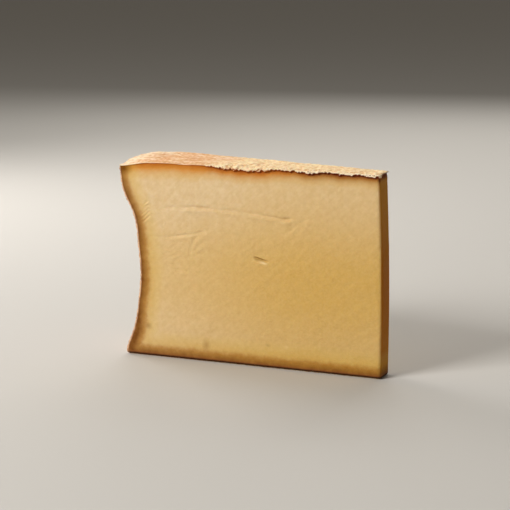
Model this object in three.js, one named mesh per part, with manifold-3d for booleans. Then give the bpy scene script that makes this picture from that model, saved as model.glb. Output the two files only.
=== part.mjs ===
// Wedge of hard mountain cheese, cut from a wheel with a hollow heel and trimmed across its tip.
// Millimetres, +Z up, heel towards -X, trimmed tip towards +X, the shown cut face towards -Y.
import * as THREE from 'three';
import { mergeVertices } from 'three/addons/utils/BufferGeometryUtils.js';
import Module from 'manifold-3d';

// The wheel and the three cuts that free the wedge
const HEIGHT = 130;
const WHEEL_RADIUS = 245.5;
const TIP_RADIUS = 65.5;
const SECTOR = THREE.MathUtils.degToRad(14.4);
const TIP_LEAN = 2.6;
const TIP_BOW = 1.2;

// Hollow of the heel: depth inside the top rim at even steps from the base to the top
const HEEL_HOLLOW = [4.0, 9.3, 12.8, 14.5, 13.0, 10.5, 2.2, 0];

// Top rind: it droops at the two corners of the rim, less at the back one, and is uneven all over
const CORNER_DROOP = 2.8;
const BACK_SHARE = 0.4;
const CORNER_REACH = { alongFace: 22, alongRim: 16 };
const RIND_BUMP = 0.45;

// Rind lip: the thin edge of the rind that stands out over the cut faces
const LIP_DROP = 0.8;
const LIP_OVERHANG = 1.2;
const LIP_UNDERCUT = 0.4;
const LIP_BAND = 7;
// Torn flaps of the lip: distance from the heel, half width and extra drop
const TORN_FLAPS = [[79, 9, 1.4], [96, 11, 1.9], [134, 8, 1.2], [160, 9, 1.0], [178, 8, 1.3]];
const TORN_FROM = 60;

// Rounding of the rim and of the foot, where the base lifts off the table
const RIM_ROUND = 0.6;
const FOOT_ROUND = 1.3;

// Slit in the shown cut face
const SLIT_AT = { fromHeel: 101.2, up: 70.6 };
const SLIT_LENGTH = 11.4;
const SLIT_OPENING = 2.4;
const SLIT_DEPTH = 3.4;
const SLIT_TILT = THREE.MathUtils.degToRad(14);

// Grid of the solid: steps from heel to tip, from cut face to cut face, and up
const RADIAL_STEPS = 48;
const SECTOR_STEPS = 9;
const FOOT_ROWS = 2;
const BODY_ROWS = 15;
const LIP_ROWS = 4;
const HEIGHT_STEPS = FOOT_ROWS + BODY_ROWS + LIP_ROWS;

const { lerp, smoothstep } = THREE.MathUtils;

// Uneven wave of about -1 to 1 over a surface measured in mm
function uneven(a, b) {
  const long = Math.sin(0.19 * a + 0.11 * b + 1.7);
  const middle = Math.sin(0.41 * a - 0.33 * b + 0.4);
  const short = Math.sin(0.87 * a + 0.59 * b + 2.9);
  return (long + 0.8 * middle + 0.6 * short) / 2;
}

const heelCurve = new THREE.SplineCurve(HEEL_HOLLOW.map((depth, step) => new THREE.Vector2(step, depth)));

function heelHollow(z) {
  return heelCurve.getPoint(THREE.MathUtils.clamp(z / HEIGHT, 0, 1)).y;
}

// Drop of the lip below the top rind: clean near the heel, torn towards the tip
function lipDrop(fromHeel, across) {
  const torn = smoothstep(fromHeel, TORN_FROM, TORN_FROM + 15);
  let drop = LIP_DROP + 0.35 * torn * uneven(1.9 * fromHeel, 2.3 * across);
  for (const [at, halfWidth, extra] of TORN_FLAPS) {
    const shifted = at - 0.6 * across;
    drop += extra * Math.exp(-(((fromHeel - shifted) / halfWidth) ** 4));
  }
  return Math.max(drop, 0.45);
}

// Droop of the top rind around a corner of the rim
function cornerDroop(fromHeel, fromFace) {
  const away = Math.hypot(fromHeel / CORNER_REACH.alongFace, fromFace / CORNER_REACH.alongRim);
  return CORNER_DROOP * (1 - smoothstep(away, 0, 1));
}

// Height of a grid row and how far it stands out from the cut faces
function row(k, lip, topZ) {
  if (k <= FOOT_ROWS) {
    const t = (k / FOOT_ROWS) * (Math.PI / 2);
    return { z: FOOT_ROUND * (1 - Math.cos(t)), out: -FOOT_ROUND * (1 - Math.sin(t)) };
  }
  const bodyTop = HEIGHT - LIP_BAND;
  if (k <= FOOT_ROWS + BODY_ROWS) {
    return { z: lerp(FOOT_ROUND, bodyTop, (k - FOOT_ROWS) / BODY_ROWS), out: 0 };
  }
  return [
    { z: topZ - lip - 0.6, out: -LIP_UNDERCUT },
    { z: topZ - lip, out: 0.7 * LIP_OVERHANG },
    { z: topZ - 0.45 * lip, out: LIP_OVERHANG },
    { z: topZ, out: 0.4 * LIP_OVERHANG },
  ][k - FOOT_ROWS - BODY_ROWS - 1];
}

// Rounding of the rim: how far each row at the heel stays inside the rim's radius
function rimInset(k) {
  if (k <= FOOT_ROWS) return FOOT_ROUND * (1 - Math.sin((k / FOOT_ROWS) * (Math.PI / 2)));
  return { [HEIGHT_STEPS]: RIM_ROUND, [HEIGHT_STEPS - 1]: 0.35 * RIM_ROUND }[k] ?? 0;
}

// Place of the grid point that is i steps from the heel, j from the shown face and k up
function wedgePoint(i, j, k) {
  const angle = SECTOR * (j / SECTOR_STEPS);
  const u = i / RADIAL_STEPS;
  const fromHeel = u * (WHEEL_RADIUS - TIP_RADIUS);
  const across = (WHEEL_RADIUS - fromHeel) * Math.sin(angle);
  const acrossBack = (WHEEL_RADIUS - fromHeel) * Math.sin(SECTOR - angle);

  const droop = cornerDroop(fromHeel, across) + BACK_SHARE * cornerDroop(fromHeel, acrossBack);
  const topZ = HEIGHT - droop + RIND_BUMP * uneven(fromHeel, across);
  const { z, out } = row(k, lipDrop(fromHeel, across), topZ);

  const rise = z / HEIGHT;
  const tip = TIP_RADIUS - TIP_LEAN * (1 - rise) - TIP_BOW * Math.sin(Math.PI * rise);
  const rimBump = i === 0 && k > FOOT_ROWS ? RIND_BUMP * uneven(z + 40, across) : 0;
  const heel = WHEEL_RADIUS - heelHollow(z) - rimInset(k) + rimBump;
  const radius = lerp(heel, tip / Math.cos(angle), u);

  const point = new THREE.Vector3(-radius * Math.cos(angle), radius * Math.sin(angle), z);
  if (j === 0) point.y -= out;
  if (j === SECTOR_STEPS) point.add(new THREE.Vector3(Math.sin(angle), Math.cos(angle), 0).multiplyScalar(out));
  if (i === RADIAL_STEPS) point.x += out;
  return point;
}

// The body: a box grid with every point moved to its place in the wedge
function wedgeGeometry() {
  const geometry = new THREE.BoxGeometry(1, 1, 1, RADIAL_STEPS, SECTOR_STEPS, HEIGHT_STEPS);
  const position = geometry.getAttribute('position');
  for (let n = 0; n < position.count; n += 1) {
    const i = Math.round((position.getX(n) + 0.5) * RADIAL_STEPS);
    const j = Math.round((position.getY(n) + 0.5) * SECTOR_STEPS);
    const k = Math.round((position.getZ(n) + 0.5) * HEIGHT_STEPS);
    position.setXYZ(n, ...wedgePoint(i, j, k).toArray());
  }
  return geometry;
}

// The slit: a flat lens sunk into the shown face
function slitGeometry() {
  const geometry = new THREE.SphereGeometry(1, 16, 10);
  geometry.scale(SLIT_LENGTH / 2, SLIT_DEPTH, SLIT_OPENING / 2);
  geometry.rotateY(SLIT_TILT);
  geometry.translate(SLIT_AT.fromHeel - WHEEL_RADIUS, 0, SLIT_AT.up);
  return geometry;
}

const wasm = await Module();
wasm.setup();

function toManifold(geometry) {
  geometry.deleteAttribute('normal');
  geometry.deleteAttribute('uv');
  const merged = mergeVertices(geometry, 1e-4);
  return new wasm.Manifold(new wasm.Mesh({
    numProp: 3,
    vertProperties: Float32Array.from(merged.getAttribute('position').array),
    triVerts: Uint32Array.from(merged.index.array),
  }));
}

function toGeometry(manifold) {
  const mesh = manifold.getMesh();
  const geometry = new THREE.BufferGeometry();
  geometry.setAttribute('position', new THREE.BufferAttribute(mesh.vertProperties, mesh.numProp));
  geometry.setIndex(new THREE.BufferAttribute(mesh.triVerts, 1));
  return geometry;
}

const cheese = toGeometry(toManifold(wedgeGeometry()).subtract(toManifold(slitGeometry())));

// The origin sits under the middle of the wedge's box, on the table
cheese.computeBoundingBox();
const centre = cheese.boundingBox.getCenter(new THREE.Vector3());
cheese.translate(-centre.x, -centre.y, -cheese.boundingBox.min.z);
cheese.computeVertexNormals();

const paste = new THREE.MeshStandardMaterial({ color: 0xd2ac6e, roughness: 0.55 });
const wedge = new THREE.Mesh(cheese, paste);
wedge.name = 'cheese_wedge';

const part = new THREE.Group();
part.name = 'cheese_wedge_part';
part.add(wedge);

export default part;
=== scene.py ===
import math

import bpy
import numpy as np
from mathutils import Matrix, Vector, noise


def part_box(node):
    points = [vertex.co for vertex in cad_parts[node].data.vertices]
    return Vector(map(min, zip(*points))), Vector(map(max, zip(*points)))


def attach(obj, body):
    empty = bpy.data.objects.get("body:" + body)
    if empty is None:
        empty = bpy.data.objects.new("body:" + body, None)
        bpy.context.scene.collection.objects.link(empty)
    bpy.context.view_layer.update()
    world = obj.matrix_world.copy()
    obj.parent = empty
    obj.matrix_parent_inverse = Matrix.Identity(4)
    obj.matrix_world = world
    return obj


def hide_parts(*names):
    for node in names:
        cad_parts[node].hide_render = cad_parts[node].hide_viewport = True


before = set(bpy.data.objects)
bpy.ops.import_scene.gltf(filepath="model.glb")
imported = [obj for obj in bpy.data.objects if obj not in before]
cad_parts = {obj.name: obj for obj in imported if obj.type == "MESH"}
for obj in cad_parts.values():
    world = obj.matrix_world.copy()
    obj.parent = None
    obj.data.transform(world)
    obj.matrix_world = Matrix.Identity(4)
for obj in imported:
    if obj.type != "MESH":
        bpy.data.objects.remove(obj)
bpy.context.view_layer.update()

bpy.ops.object.select_all(action="DESELECT")


# The wedge: firm golden paste inside its own dry rind, which covers the top, the base and the heel.
# The wheel is pressed in a hoop that hollows its heel; two radial cuts free the wedge and a third
# cut trims its tip, so the two wide faces and the narrow one are bare paste.
wedge_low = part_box("cheese_wedge")[0]
HEIGHT = 0.130
WHEEL_RADIUS = 0.2455
TIP_RADIUS = 0.0655
SECTOR = math.radians(14.4)
TIP_LEAN = 0.0026
TIP_BOW = 0.0012
HEEL_HOLLOW = (0.0040, 0.0093, 0.0128, 0.0145, 0.0130, 0.0105, 0.0022)
RIM_TUCK = 0.0005
RIM_HEIGHT = 0.004
FOOT_ROUND = 0.0016
LIP_STANDS = 0.0012
GRAIN = 0.0015

axis_x = wedge_low.x + WHEEL_RADIUS
front_y = wedge_low.y + LIP_STANDS
tip_x = axis_x - TIP_RADIUS

# The wheel's section is drawn as a closed outline of depths inside the rim and heights
SPARE_TIP = 0.006
deepest = WHEEL_RADIUS - TIP_RADIUS + SPARE_TIP
heel_step = HEIGHT / len(HEEL_HOLLOW)
section = [(deepest, 0.0), (deepest, HEIGHT)]
section += [(0.0, HEIGHT), (RIM_TUCK, HEIGHT - RIM_HEIGHT)]
section += [(HEEL_HOLLOW[n], heel_step * n) for n in range(len(HEEL_HOLLOW) - 1, 0, -1)]
section += [(HEEL_HOLLOW[0], FOOT_ROUND), (HEEL_HOLLOW[0] + FOOT_ROUND, 0.0)]
bpy.ops.curve.primitive_bezier_curve_add()
bpy.context.object.name = "wedge"
outline = bpy.context.object.data
outline.dimensions = "3D"
corners = outline.splines[0].bezier_points
corners.add(len(section) - len(corners))
for corner, (inside, up) in zip(corners, section):
    corner.co = (axis_x - WHEEL_RADIUS + inside, front_y, up)
    corner.handle_left_type = corner.handle_right_type = "AUTO"
for corner in (*corners[:3], corners[-1]):
    corner.handle_left_type = corner.handle_right_type = "VECTOR"
outline.splines[0].use_cyclic_u = True
bpy.ops.object.transform_apply(location=True, rotation=True, scale=True)
bpy.ops.object.convert(target="MESH")
wedge = bpy.context.object

# The section's own points give the radius of the heel at any height
HEEL_SIDE = 0.02
drawn = np.array([vertex.co for vertex in wedge.data.vertices])
is_heel = drawn[:, 0] < axis_x - WHEEL_RADIUS + HEEL_SIDE
heel_order = np.argsort(drawn[is_heel, 2])
heel_heights = drawn[is_heel, 2][heel_order]
heel_radii = axis_x - drawn[is_heel, 0][heel_order]

# The section is spun through the sector's angle about the wheel's axis, and the tip is cut off
SPIN_STEPS = 24
SAME_POINT = 1e-6
bpy.ops.object.mode_set(mode="EDIT")
bpy.ops.mesh.select_all(action="SELECT")
bpy.ops.mesh.remove_doubles(threshold=SAME_POINT)
bpy.ops.mesh.edge_face_add()
bpy.ops.mesh.spin(steps=SPIN_STEPS, angle=SECTOR, center=(axis_x, front_y, 0.0), axis=(0, 0, 1))
bpy.ops.mesh.select_all(action="SELECT")
bpy.ops.mesh.remove_doubles(threshold=SAME_POINT)
bpy.ops.mesh.bisect(
    plane_co=(tip_x, front_y, HEIGHT),
    plane_no=(HEIGHT, 0.0, TIP_LEAN),
    use_fill=True,
    clear_outer=True,
)
bpy.ops.mesh.select_all(action="SELECT")
bpy.ops.mesh.normals_make_consistent(inside=False)
bpy.ops.object.mode_set(mode="OBJECT")

# The solid is remeshed in even grains
wedge.data.remesh_voxel_size = GRAIN
bpy.ops.object.voxel_remesh()


# How deep points lie inside each side of the wedge, and how far from the rim towards the wheel's axis
def depths_inside(points):
    across = points[:, 1] - front_y
    outward = axis_x - points[:, 0]
    radius = np.hypot(outward, across)
    turn = np.arctan2(across, outward)
    up = points[:, 2]
    lean = TIP_LEAN * (1 - up / HEIGHT)
    return {
        "top": HEIGHT - up,
        "heel": np.interp(up, heel_heights, heel_radii) - radius,
        "base": up,
        "front": across,
        "back": radius * np.sin(SECTOR - turn),
        "tip": tip_x + lean - points[:, 0],
        "along": WHEEL_RADIUS - radius,
    }


def read_vectors(items, name):
    flat = np.empty(len(items) * 3)
    items.foreach_get(name, flat)
    return flat.reshape(-1, 3)


# Where the surface carries fine relief, its grains are cut finer
def refine(is_chosen):
    centre = read_vectors(wedge.data.polygons, "center")
    normal = read_vectors(wedge.data.polygons, "normal")
    bpy.ops.object.mode_set(mode="EDIT")
    bpy.ops.mesh.select_mode(type="FACE")
    bpy.ops.mesh.select_all(action="DESELECT")
    bpy.ops.object.mode_set(mode="OBJECT")
    wedge.data.polygons.foreach_set("select", is_chosen(depths_inside(centre), centre, normal))
    bpy.ops.object.mode_set(mode="EDIT")
    bpy.ops.mesh.subdivide(number_cuts=1)
    bpy.ops.object.mode_set(mode="OBJECT")


# Marks on the shown face, as distances from the heel and heights, then depth and half width:
# folds left by the press cloth, scuffs of the knife, and one slit
FOLDS = (
    (((0.031, 0.1000), (0.052, 0.1017), (0.064, 0.1015), (0.080, 0.1010)), 0.00060, 0.0011),
    (((0.074, 0.1011), (0.092, 0.1006), (0.104, 0.0993), (0.116, 0.0974), (0.123, 0.0982)), 0.00085, 0.0012),
    (((0.018, 0.0804), (0.033, 0.0809), (0.044, 0.0825), (0.055, 0.0844), (0.062, 0.0870)), 0.00026, 0.0009),
    (((0.041, 0.0821), (0.049, 0.0834)), 0.00030, 0.0009),
    (((0.068, 0.0898), (0.059, 0.0848), (0.054, 0.0810), (0.052, 0.0750), (0.050, 0.0702), (0.046, 0.0670)),
     0.00028, 0.0014),
    (((0.062, 0.0800), (0.056, 0.0762), (0.053, 0.0710)), 0.00026, 0.0014),
    (((0.063, 0.0730), (0.056, 0.0709), (0.050, 0.0685)), 0.00026, 0.0014),
    (((0.040, 0.0597), (0.050, 0.0592)), 0.00026, 0.0012),
    (((0.120, 0.0894), (0.126, 0.0949), (0.1355, 0.1005)), 0.00030, 0.0014),
    (((0.123, 0.0878), (0.132, 0.0962)), 0.00024, 0.0013),
)
SCRATCHES = tuple((((0.0140 + 0.0006 * n, 0.0985 - 0.0022 * n), (0.0210 + 0.0004 * n, 0.1042 - 0.0023 * n)),
                   0.00038, 0.0007) for n in range(5))
MARKS = FOLDS + SCRATCHES
RIPPLES_AT = (0.033, 0.069)
RIPPLES_REACH = (0.020, 0.014)
SLIT_AT = (0.1012, 0.0712)
SLIT_LENGTH = 0.0110
SLIT_TILT = math.radians(-14)
SLIT_DEPTH = 0.0022
SLIT_SLOPE = 0.0029
SLIT_SURROUND = 0.006
SHOWN_FACES = 0.0003
SHOWN_POINTS = 0.0004


# Distance from a line of points, the same with a sign for above or below, and the share travelled
def beside_line(line, xs, zs):
    nearest, side, travel = np.full(len(xs), 1.0), np.zeros(len(xs)), np.zeros(len(xs))
    for n, (start, end) in enumerate(zip(line, line[1:])):
        run, rise = end[0] - start[0], end[1] - start[1]
        share = np.clip(((xs - start[0]) * run + (zs - start[1]) * rise) / (run ** 2 + rise ** 2), 0, 1)
        right, above = xs - start[0] - share * run, zs - start[1] - share * rise
        gap = np.hypot(right, above)
        closer = gap < nearest
        nearest = np.where(closer, gap, nearest)
        side = np.where(closer, np.sign(above * abs(run) - right * rise * np.sign(run)), side)
        travel = np.where(closer, (n + share) / (len(line) - 1), travel)
    return nearest, side * nearest, travel


# Places measured along the slit and across it
def slit_frame(xs, zs):
    right, above = xs - SLIT_AT[0], zs - SLIT_AT[1]
    along = right * math.cos(SLIT_TILT) + above * math.sin(SLIT_TILT)
    over = -right * math.sin(SLIT_TILT) + above * math.cos(SLIT_TILT)
    return along, over


def near_marks(d, centre, reach):
    xs, zs = centre[:, 0] - wedge_low.x, centre[:, 2]
    chosen = np.zeros(len(centre), bool)
    for line, _, width in MARKS:
        chosen |= beside_line(line, xs, zs)[0] < reach * width
    return chosen & (d["front"] < SHOWN_FACES)


def near_slit(d, centre, reach):
    along, over = slit_frame(centre[:, 0] - wedge_low.x, centre[:, 2])
    return (np.hypot(along / SLIT_LENGTH, over / SLIT_SURROUND) < reach) & (d["front"] < SHOWN_FACES)


def near_ripples(d, centre):
    right = (centre[:, 0] - wedge_low.x - RIPPLES_AT[0]) / RIPPLES_REACH[0]
    above = (centre[:, 2] - RIPPLES_AT[1]) / RIPPLES_REACH[1]
    return (np.hypot(right, above) < 1) & (d["front"] < SHOWN_FACES)


TOP_BAND = 0.0050
HEEL_BAND = 0.0025
FOOT_BAND = 0.0020
LIP_BAND = 0.0042
LIP_THICK = 0.0010
refine(lambda d, c, n: (d["top"] < TOP_BAND) | (d["heel"] < HEEL_BAND)
       | (d["base"] < FOOT_BAND) & (n[:, 2] > -0.7)
       | near_marks(d, c, 3.5) | near_slit(d, c, 1.0) | near_ripples(d, c))
refine(lambda d, c, n: (d["top"] < LIP_BAND) & (d["front"] < LIP_THICK)
       | near_marks(d, c, 2.0) | near_slit(d, c, 0.8))
refine(lambda d, c, n: near_slit(d, c, 0.7))
bpy.ops.object.shade_smooth()


def unevenness(points, size):
    return np.array([noise.noise(Vector(point) / size) for point in points])


def fade(low, high, values):
    t = np.clip((values - low) / (high - low), 0, 1)
    return t * t * (3 - 2 * t)


def crumbling(points, size):
    rise = np.array([
        noise.turbulence(Vector(point) / size, 3, True, amplitude_scale=0.6) for point in points
    ])
    return np.clip((rise - rise.mean()) / (4 * rise.std()), -0.5, 0.5)


points = read_vectors(wedge.data.vertices, "co")
normals = read_vectors(wedge.data.vertices, "normal")
depth = depths_inside(points)

# The rind is clean near the rim and torn from here towards the tip
TORN_FROM = 0.055
TORN_WHOLLY = 0.075
torn = fade(TORN_FROM, TORN_WHOLLY, depth["along"] + 0.015 * unevenness(points, 0.008))

# Torn flaps of the lip on the shown face: distance from the heel, half width and extra drop
LIP_DROP = 0.0009
LEAST_DROP = 0.0005
LIP_EDGE = 0.0002
TORN_FLAPS = ((0.079, 0.009, 0.0012), (0.096, 0.011, 0.0017), (0.134, 0.008, 0.0010),
              (0.160, 0.009, 0.0008), (0.178, 0.008, 0.0013))
lip_path = np.stack([depth["along"], depth["front"] * 2, np.zeros(len(points))], axis=1)
scallops = 0.0006 * unevenness(lip_path, 0.0055) + 0.0012 * unevenness(lip_path, 0.0024)
scallops += 0.0009 * unevenness(lip_path, 0.0013)
lip_drop = LIP_DROP + torn * (0.0003 + scallops) + 0.0005 * fade(0.030, 0.004, depth["along"])
for at, half_width, extra in TORN_FLAPS:
    lip_drop += extra * np.exp(-((depth["along"] - at + 0.6 * depth["front"]) / half_width) ** 4)
lip_drop *= 1 - 0.6 * fade(0.003, 0.0, depth["tip"]) * fade(0.001, 0.003, depth["front"])
lip_drop = np.maximum(lip_drop, LEAST_DROP)
lip = fade(LIP_EDGE, -LIP_EDGE, depth["top"] - lip_drop)

# Rind relief: broad swells and fine grain everywhere, and crumbs on the torn part and on the heel
SWELLS = 0.00035
CRUMBS = 0.00080
COARSE_CRUMBS = 0.00060
HEEL_CRUMBS = 0.00090
COARSEST_AT = 0.088
COARSE_REACH = 0.030
broad = unevenness(points, 0.009)
coarse = np.exp(-((depth["along"] - COARSEST_AT) / COARSE_REACH) ** 2)
lumps = coarse * crumbling(points, 0.0048) + (1 - 0.6 * coarse) * crumbling(points + 5.0, 0.0024)
streaks = 0.5 * unevenness(points * np.array([0.3, 1.0, 1.0]), 0.0032) + 0.7 * unevenness(points, 0.0018)
up_facing = np.clip(normals[:, 2], 0, 1)
radial = np.stack([points[:, 0] - axis_x, points[:, 1] - front_y, np.zeros(len(points))], axis=1)
radial /= np.linalg.norm(radial, axis=1)[:, None]
heel_facing = np.clip((radial * normals).sum(1), 0, 1) * fade(0.004, 0.001, depth["heel"])
rind = np.clip(up_facing + heel_facing, 0, 1)
from_edge = np.minimum(depth["front"], depth["tip"]) + 0.009 * unevenness(points, 0.006) - 0.010 * coarse
crumbly = torn * fade(0.016, 0.002, from_edge)
uneven_top = np.maximum(crumbly, torn * (0.35 + 0.35 * fade(0.040, 0.012, depth["front"])))
rough = (CRUMBS + COARSE_CRUMBS * coarse) * uneven_top * up_facing + HEEL_CRUMBS * heel_facing
grainy = (0.00017 + 0.00012 * torn) * (1 - heel_facing) * streaks
points += normals * (rind * (SWELLS * broad + rough * lumps + grainy))[:, None]

# The lip stands out over the three cut faces, and the paste just below it is drawn in
LIP_UNDERCUT = 0.0004
outward = {
    "front": np.array([0.0, -1.0, 0.0]),
    "back": np.array([math.sin(SECTOR), math.cos(SECTOR), 0.0]),
    "tip": np.array([1.0, 0.0, 0.0]),
    "base": np.array([0.0, 0.0, -1.0]),
}
under_lip = depth["top"] - lip_drop
drawn_in = LIP_UNDERCUT * torn * fade(0.0030, 0.0004, under_lip) * (1 - lip)
stands = LIP_STANDS * lip * (0.45 + torn * (0.45 + 0.6 * lumps)) - drawn_in
for facing in (outward["front"], outward["back"], outward["tip"]):
    points += facing * (stands * np.clip(normals @ facing, 0, 1))[:, None]

# The two corners of the rim droop where the knife went in, and the rim between them is raised
CORNER_DROOP = 0.0028
DROOP_ALONG, DROOP_ACROSS, DROOP_DOWN = 0.022, 0.023, 0.012
RIM_RISE = 0.0011
RISE_AT, RISE_REACH = 0.042, 0.022
droop_depth = fade(DROOP_DOWN, 0.0, depth["top"])
for side, share in (("front", 1.0), ("back", 0.4)):
    from_corner = np.hypot(depth["along"] / DROOP_ALONG, depth[side] / DROOP_ACROSS)
    points[:, 2] -= share * CORNER_DROOP * fade(1.0, 0.0, from_corner) * droop_depth
across_rim = np.clip(1 - ((depth["front"] - RISE_AT) / RISE_REACH) ** 2, 0, 1)
on_rim = fade(0.024, 0.004, depth["along"]) * across_rim
points[:, 2] += RIM_RISE * on_rim * droop_depth

# Marks pressed or cut into the shown face, measured along its outward normal
RIPPLE_PITCH = 0.0028
RIPPLE_RELIEF = 0.00008
DRAG_RELIEF = 0.00017
on_front = np.clip(-normals[:, 1], 0, 1) * (depth["front"] < SHOWN_POINTS) * (1 - lip)
from_heel, up = points[:, 0] - wedge_low.x, points[:, 2].copy()
relief = 0.00014 * unevenness(np.stack([from_heel, up * 3.2, up * 0], axis=1), 0.030)
relief += 0.00003 * unevenness(points, 0.006)
dragged, crossed = 0.75 * from_heel + 0.66 * up, 0.75 * up - 0.66 * from_heel
drag = unevenness(np.stack([dragged / 6, crossed, up * 0], axis=1), 0.0030)
relief += DRAG_RELIEF * drag * fade(0.060, 0.110, from_heel) * fade(0.110, 0.080, up)
patchy = np.clip(0.75 + unevenness(points, 0.008), 0.15, 1.4)
for line, sunk, width in MARKS:
    gap, over, travel = beside_line(line, from_heel, up)
    groove = -np.exp(-(gap / width) ** 2)
    ridge = 0.6 * np.exp(-((over + 1.9 * width) / (1.3 * width)) ** 2) * (gap < 5 * width)
    ends = fade(0.0, 0.12, travel) * fade(1.0, 0.88, travel)
    relief += sunk * ends * patchy * (groove + ridge)
right, above = (from_heel - RIPPLES_AT[0]) / RIPPLES_REACH[0], (up - RIPPLES_AT[1]) / RIPPLES_REACH[1]
wander = 0.004 * unevenness(points, 0.012)
ripples = np.sin((up + wander) * 2 * np.pi / RIPPLE_PITCH)
relief += RIPPLE_RELIEF * ripples * fade(1.0, 0.3, np.hypot(right, above))
along_slit, over_slit = slit_frame(from_heel, up)
mouth = np.clip(1 - (2 * along_slit / SLIT_LENGTH) ** 2, 0, 1)
sloping = np.clip(1 + over_slit / (SLIT_SLOPE * np.sqrt(mouth) + 1e-6), 0, 1)
relief -= SLIT_DEPTH * mouth * sloping * fade(0.0006, -0.0005, over_slit)
relief += 0.0003 * mouth * np.exp(-((over_slit + SLIT_SLOPE) / 0.0010) ** 2)
points[:, 1] -= relief * on_front

# The cut edges are rounded, and those at the foot so lift off the table
EDGE_ROUND = 0.0018
for first, second, radius in (
    ("front", "base", FOOT_ROUND),
    ("back", "base", FOOT_ROUND),
    ("tip", "base", FOOT_ROUND),
    ("front", "tip", EDGE_ROUND),
    ("back", "tip", EDGE_ROUND),
):
    from_first, from_second = radius - depth[first], radius - depth[second]
    reach = np.hypot(from_first, from_second)
    is_corner = (from_first > 0) & (from_second > 0) & (reach > radius)
    pull = np.where(is_corner, 1 - radius / np.maximum(reach, 1e-9), 0) * (1 - lip)
    points -= outward[first] * (pull * from_first)[:, None] + outward[second] * (pull * from_second)[:, None]

# The trimmed tip bows out a little at mid height
bow = TIP_BOW * np.sin(np.pi * np.clip(points[:, 2] / HEIGHT, 0, 1))
points[:, 0] += bow * fade(0.03, 0.0, depth["tip"])
wedge.data.vertices.foreach_set("co", points.ravel())
wedge.data.update()
underside = fade(0.05, 0.35, -read_vectors(wedge.data.vertices, "normal")[:, 2]) * (depth["top"] < 0.008)


# What the material reads: depths below the rind in mm, and shares of each kind of surface
def store(name, values):
    layer = wedge.data.attributes.new(name, "FLOAT", "POINT")
    layer.data.foreach_set("value", values)


# Towards the tip, the band under the lip carries painted shadow of the overhanging lip as well as the
# browning under the rind
lip_shadow_zone = fade(0.110, 0.140, depth["along"])
stain_and_shadow_depth = np.maximum(under_lip + torn * scallops, 0) * (0.7 + 0.3 * torn) + 0.0002 * (1 - torn)
store("under_lip", stain_and_shadow_depth * (1 - underside) * 1000)
paler_rim = 0.0026 * fade(0.108, 0.126, points[:, 2]) * fade(0.0006, 0.0016, depth["heel"])
browner_foot = 0.0028 * fade(0.034, 0.010, points[:, 2]) * fade(0.0006, 0.0030, depth["heel"])
heel_band = np.maximum(depth["heel"] + paler_rim - browner_foot, np.minimum(depth["heel"], 0.0016))
store("under_side", np.minimum(heel_band, depth["base"] * 0.97) * 1000)
store("above_foot", depth["base"] * 1000)
# Painted shade inside the slit and a painted highlight on its lower lip
on_slit = mouth * (depth["front"] < SHOWN_POINTS)
store("slit_shade", on_slit * fade(0.0006, -0.0002, over_slit) * fade(-0.0022, -0.0012, over_slit))
slit_edge = np.exp(-((over_slit + 0.0022) / 0.0007) ** 2)
store("slit_highlight", on_slit * slit_edge * fade(-0.003, 0.003, along_slit))
store("rind", np.clip(rind + lip + fade(0.5, 0.8, -normals[:, 2]), 0, 1) * (1 - underside))
store("crest", 0.5 + lumps)
store("streak", 0.5 + streaks)
store("torn", torn)
store("crumbly", np.maximum(crumbly, 0.45 * torn))
store("lip_shadow_zone", lip_shadow_zone)
# Painted highlight: the lip's front and the top along the rim near the heel are made paler, where light
# catches them
painted_rim_highlight = 0.9 * up_facing * fade(0.024, 0.002, depth["along"]) * np.clip(0.6 + streaks, 0, 1)
store("painted_highlight", np.maximum(lip * (1 - up_facing) * (1 - torn * (0.75 - 0.7 * lip_shadow_zone)), painted_rim_highlight))
store("heel", heel_facing)
# Painted sheen: the paste is made paler high up, a little near the foot and towards the heel, where light
# from above and the left gives its face a soft sheen
high_up, low_down = fade(0.062, 0.120, points[:, 2]), fade(0.050, 0.015, points[:, 2])
store("pale", np.clip(0.72 * high_up + 0.22 * low_down + 0.65 * fade(0.140, 0.0, depth["along"]), 0, 1))
store("tip_face", fade(0.5, 0.9, normals[:, 0]))
# Painted shadow under the overhanging lip at the top of the tip face
store("tip_lip_shadow", fade(0.5, 0.9, normals[:, 0]) * fade(0.0045, 0.0015, under_lip) * (1 - lip))


def shade(red, green, blue):
    def linear(value):
        share = value / 255
        return share / 12.92 if share <= 0.04045 else ((share + 0.055) / 1.055) ** 2.4
    return (linear(red), linear(green), linear(blue), 1.0)


cheese = bpy.data.materials.new("cheese")
cheese.use_nodes = True
tree = cheese.node_tree
bsdf = tree.nodes["Principled BSDF"]


def add_node(kind, **settings):
    made = tree.nodes.new(kind)
    for name, value in settings.items():
        setattr(made, name, value)
    return made


def ramp(source, *stops):
    made = add_node("ShaderNodeValToRGB")
    elements = made.color_ramp.elements
    while len(elements) < len(stops):
        elements.new(0.5)
    for element, (at, colour) in zip(elements, stops):
        element.position = at
        element.color = colour
    tree.links.new(source, made.inputs["Fac"])
    return made.outputs["Color"]


def feed(socket, value):
    if isinstance(value, bpy.types.NodeSocket):
        tree.links.new(value, socket)
    else:
        socket.default_value = value


def mix(factor, first, second):
    made = add_node("ShaderNodeMix", data_type="RGBA")
    feed(made.inputs[0], factor)
    feed(made.inputs[6], first)
    feed(made.inputs[7], second)
    return made.outputs[2]


def math_node(operation, first, second):
    made = add_node("ShaderNodeMath", operation=operation)
    feed(made.inputs[0], first)
    feed(made.inputs[1], second)
    return made.outputs[0]


def attribute(name):
    return add_node("ShaderNodeAttribute", attribute_name=name).outputs["Fac"]


place = add_node("ShaderNodeTexCoord").outputs["Object"]


def cloud(scale, detail=3.0, roughness=0.55, vector=place):
    made = add_node("ShaderNodeTexNoise")
    tree.links.new(vector, made.inputs["Vector"])
    made.inputs["Scale"].default_value = scale
    made.inputs["Detail"].default_value = detail
    made.inputs["Roughness"].default_value = roughness
    return made.outputs["Fac"]


def grey(level):
    return (level, level, level, 1.0)


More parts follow.
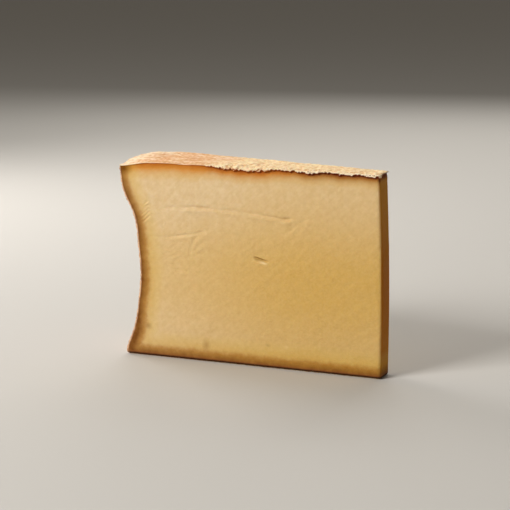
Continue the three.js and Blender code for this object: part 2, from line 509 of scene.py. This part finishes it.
def blot(along, up, wide, tall):
    away = add_node("ShaderNodeVectorMath", operation="SUBTRACT")
    tree.links.new(place, away.inputs[0])
    away.inputs[1].default_value = (wedge_low.x + along, front_y, up)
    shares = add_node("ShaderNodeVectorMath", operation="DIVIDE")
    tree.links.new(away.outputs[0], shares.inputs[0])
    shares.inputs[1].default_value = (wide, wide, tall)
    length = add_node("ShaderNodeVectorMath", operation="LENGTH")
    tree.links.new(shares.outputs[0], length.inputs[0])
    return ramp(length.outputs["Value"], (0.0, grey(1)), (1.0, grey(0)))


def scaled(value, factor):
    return math_node("MULTIPLY", value, factor)


def patches(source, share):
    return ramp(source, (0.36, grey(0)), (0.64, grey(share)))


def drawn_out(angle, stretch):
    made = add_node("ShaderNodeMapping", vector_type="TEXTURE")
    tree.links.new(place, made.inputs["Vector"])
    made.inputs["Rotation"].default_value = (0.0, -angle, 0.0)
    made.inputs["Scale"].default_value = (stretch, 1.0, 1.0)
    return made.outputs["Vector"]


# The paste: golden and mottled, paler towards the top and the heel by painted sheen, turned brown below the
# rind
SCUFF_ANGLE = math.radians(41)
SCUFF_STRETCH = 6.0
paste_tone = mix(attribute("pale"), shade(210, 169, 86), shade(225, 200, 162))
paste_tone = mix(scaled(cloud(45), 0.30), paste_tone, shade(225, 192, 134))
paste_tone = mix(patches(cloud(260), 0.24), paste_tone, shade(192, 152, 88))
paste_tone = mix(patches(cloud(700), 0.14), paste_tone, shade(232, 204, 146))
scuffs = patches(cloud(520, vector=drawn_out(SCUFF_ANGLE, SCUFF_STRETCH)), 0.11)
paste_tone = mix(scuffs, paste_tone, shade(188, 148, 84))
# Painted shade: the trimmed tip face gets a darker, warmer paste tone, standing for the shade on the side
# turned from the key light and the warm light thrown back onto it
tip_shade_tone = mix(attribute("pale"), shade(186, 108, 0), shade(204, 142, 44))
paste_tone = mix(attribute("tip_face"), paste_tone, tip_shade_tone)
wavy = math_node("SUBTRACT", cloud(70), 0.5)
top_band = scaled(math_node("ADD", attribute("under_lip"), scaled(wavy, 3.0)), 1 / 8.5)
top_cover = ramp(top_band, (0.0, grey(1)), (0.25, grey(0.92)), (0.55, grey(0.45)), (1.0, grey(0)))


# The band below the lip is paste browned by the rind, and its darkest stops are painted shadow of the lip,
# strongest towards the tip
def brown_and_shadow_ramp(dark, brown, amber, gold):
    return ramp(top_band, (0.0, dark), (0.10, brown), (0.30, amber), (0.8, gold))


clean_brown = brown_and_shadow_ramp(shade(176, 98, 28), shade(188, 112, 32), shade(208, 136, 44), shade(214, 164, 68))
torn_brown = brown_and_shadow_ramp(shade(160, 76, 24), shade(168, 90, 18), shade(192, 116, 20), shade(204, 144, 40))
shadowed_brown = brown_and_shadow_ramp(shade(122, 42, 18), shade(132, 68, 20), shade(166, 110, 36), shade(204, 156, 72))
top_brown = mix(attribute("lip_shadow_zone"), mix(attribute("torn"), clean_brown, torn_brown), shadowed_brown)
off_tip = math_node("SUBTRACT", 1.0, scaled(attribute("tip_face"), 0.6))
top_cover = math_node("MULTIPLY", top_cover, off_tip)
paste_tone = mix(top_cover, paste_tone, top_brown)
# Painted shadow under the lip on the tip face
paste_tone = mix(attribute("tip_lip_shadow"), paste_tone, shade(120, 54, 20))
ragged = math_node("ADD", scaled(wavy, 2.5), scaled(math_node("SUBTRACT", cloud(230), 0.5), 3.5))
side_band = scaled(math_node("ADD", attribute("under_side"), ragged), 1 / 18)
side_cover = ramp(side_band, (0.05, grey(1)), (0.30, grey(0.8)),
                  (0.46, grey(0.42)), (0.75, grey(0.22)), (1.0, grey(0)))
side_brown = ramp(side_band, (0.07, shade(118, 68, 20)), (0.36, shade(172, 116, 22)),
                  (0.50, shade(206, 162, 54)), (0.80, shade(218, 186, 92)))
paste_tone = mix(side_cover, paste_tone, side_brown)
rind_line = ramp(scaled(attribute("under_side"), 1 / 2), (0.35, grey(0.9)), (0.75, grey(0)))
broken = ramp(cloud(240), (0.38, grey(0.35)), (0.52, grey(1)))
paste_tone = mix(math_node("MULTIPLY", rind_line, broken), paste_tone, shade(228, 192, 160))
foot_rind = ramp(scaled(attribute("above_foot"), 1 / 5), (0.20, grey(0.40)), (0.70, grey(0)))
paste_tone = mix(foot_rind, paste_tone, shade(176, 112, 74))
# The lowest millimetre of the foot is painted near black: the rind's dark edge there together with painted
# contact shadow under the lifted foot
foot_shadow_line = ramp(scaled(attribute("above_foot"), 1 / 3), (0.40, grey(1)), (0.75, grey(0)))
paste_tone = mix(foot_shadow_line, paste_tone, shade(54, 26, 10))
# Painted shade in the slit and a painted highlight on its lower lip
paste_tone = mix(scaled(attribute("slit_shade"), 0.5), paste_tone, shade(150, 112, 40))
paste_tone = mix(scaled(attribute("slit_highlight"), 0.8), paste_tone, shade(250, 224, 176))

# Spots on the shown face: distance from the heel, height, half width, half height, strength and tone; the
# last, under the rim's tip at the heel, is painted shadow of the overhanging rim
SPOTS = (
    (0.0204, 0.0204, 0.0030, 0.0028, 0.45, shade(128, 84, 28)),
    (0.0624, 0.0112, 0.0036, 0.0058, 0.45, shade(142, 90, 26)),
    (0.1061, 0.0150, 0.0024, 0.0015, 0.30, shade(128, 88, 40)),
    (0.1188, 0.0149, 0.0018, 0.0018, 0.30, shade(236, 210, 160)),
    # painted shadow under the overhanging rim tip
    (0.0035, 0.1246, 0.0070, 0.0044, 0.80, shade(92, 52, 20)),
)
for spot_along, spot_up, wide, tall, strength, tone in SPOTS:
    paste_tone = mix(scaled(blot(spot_along, spot_up, wide, tall), strength), paste_tone, tone)

# The rind: crumbs where it is torn, pale on their crests as painted light and brown in the hollows between
# them as painted shade; dry streaks elsewhere
torn_tone = ramp(attribute("crest"), (0.18, shade(186, 118, 66)), (0.40, shade(236, 194, 144)),
                 (0.66, shade(253, 229, 194)))
dry_tone = ramp(attribute("streak"), (0.2, shade(210, 150, 106)), (0.5, shade(240, 202, 162)),
                (0.85, shade(252, 230, 200)))
dry_tone = mix(scaled(attribute("torn"), 0.65), dry_tone, shade(250, 224, 174))
rind_tone = mix(attribute("crumbly"), dry_tone, torn_tone)
rind_tone = mix(scaled(cloud(140), 0.30), rind_tone, shade(240, 196, 146))
rind_tone = mix(patches(cloud(480, 4.0), 0.70), rind_tone, shade(216, 154, 98))
pale_specks = math_node("MULTIPLY", patches(cloud(330, 4.0), 0.75), attribute("torn"))
rind_tone = mix(pale_specks, rind_tone, shade(255, 238, 194))
# Painted highlight on the lip's front and on the rim near the heel
rind_tone = mix(attribute("painted_highlight"), rind_tone, shade(255, 235, 204))
rind_tone = mix(attribute("heel"), rind_tone, mix(cloud(150), shade(164, 116, 84), shade(228, 194, 164)))
tree.links.new(mix(attribute("rind"), paste_tone, rind_tone), bsdf.inputs["Base Color"])

smooth_or_dry = math_node("ADD", scaled(attribute("rind"), 0.22), scaled(cloud(180), 0.25))
tree.links.new(math_node("ADD", smooth_or_dry, 0.42), bsdf.inputs["Roughness"])
grain = math_node("ADD", scaled(cloud(420), 0.9), scaled(cloud(1300), 0.45))
crust = math_node("MULTIPLY", attribute("rind"), cloud(650, 5.0, 0.7))
bump = add_node("ShaderNodeBump")
bump.inputs["Strength"].default_value = 0.8
bump.inputs["Distance"].default_value = 0.0004
tree.links.new(math_node("ADD", grain, crust), bump.inputs["Height"])
tree.links.new(bump.outputs["Normal"], bsdf.inputs["Normal"])
bsdf.inputs["Specular IOR Level"].default_value = 0.04
bsdf.inputs["Subsurface Weight"].default_value = 0.12
bsdf.inputs["Subsurface Radius"].default_value = (1.0, 0.45, 0.15)
bsdf.inputs["Subsurface Scale"].default_value = 0.004
wedge.data.materials.append(cheese)

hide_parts("cheese_wedge")
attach(wedge, "root")


# The studio: a pale floor, a large soft key light from the upper left, a rim light behind the heel,
# a weak light over the top rind and a soft fill from behind, so that no side of the wedge goes dark.
bpy.ops.mesh.primitive_plane_add(size=40.0, location=(0, 0, 0))
floor = bpy.context.object
floor.name = "floor"
pale = bpy.data.materials.new("pale floor")
pale.use_nodes = True
pale.node_tree.nodes["Principled BSDF"].inputs["Base Color"].default_value = (0.56, 0.55, 0.53, 1)
pale.node_tree.nodes["Principled BSDF"].inputs["Roughness"].default_value = 0.9
floor.data.materials.append(pale)

world = bpy.data.worlds.new("studio")
bpy.context.scene.world = world
world.use_nodes = True
world.node_tree.nodes["Background"].inputs["Color"].default_value = (1.0, 0.90, 0.76, 1)
world.node_tree.nodes["Background"].inputs["Strength"].default_value = 0.15
bpy.context.scene.view_settings.view_transform = "Standard"


def soft_light(name, place, target, size, watts, colour):
    bpy.ops.object.light_add(type="AREA", location=place)
    lamp = bpy.context.object
    lamp.name = name
    lamp.data.size = size
    lamp.data.energy = watts
    lamp.data.color = colour
    lamp.rotation_euler = (Vector(target) - Vector(place)).to_track_quat("-Z", "Y").to_euler()


middle = (0.0, 0.0, HEIGHT / 2)
soft_light("key", (-0.9, -1.5, 1.2), middle, 0.8, 38, (1.0, 0.97, 0.92))
soft_light("rim", (-0.9, 0.4, 0.5), middle, 0.5, 5, (1.0, 0.95, 0.9))
soft_light("top", (-0.2, 0.5, 1.1), middle, 0.8, 2.8, (1.0, 0.96, 0.9))
soft_light("back fill", (-0.3, 1.5, 1.0), middle, 1.0, 9.0, (1.0, 0.96, 0.9))

# The camera stands to the right of the shown face and looks slightly down on the wedge
FRAME_PIXELS = 510
FOCAL_PIXELS = 1650
CAMERA_AZIMUTH = math.radians(23.12)
CAMERA_PITCH = math.radians(10.34)
CAMERA_DISTANCE = 1.055
AIM_FROM_HEEL = 0.0970
AIM_HEIGHT = 0.07355
camera_target = Vector((wedge_low.x + AIM_FROM_HEEL, front_y, AIM_HEIGHT))
back = Vector((
    math.sin(CAMERA_AZIMUTH) * math.cos(CAMERA_PITCH),
    -math.cos(CAMERA_AZIMUTH) * math.cos(CAMERA_PITCH),
    math.sin(CAMERA_PITCH),
))
bpy.ops.object.camera_add(location=camera_target + back * CAMERA_DISTANCE)
camera = bpy.context.object
camera.rotation_euler = (-back).to_track_quat("-Z", "Y").to_euler()
camera.data.sensor_width = 36
camera.data.lens = camera.data.sensor_width * FOCAL_PIXELS / FRAME_PIXELS
camera.data.clip_start = 0.05
bpy.context.scene.camera = camera
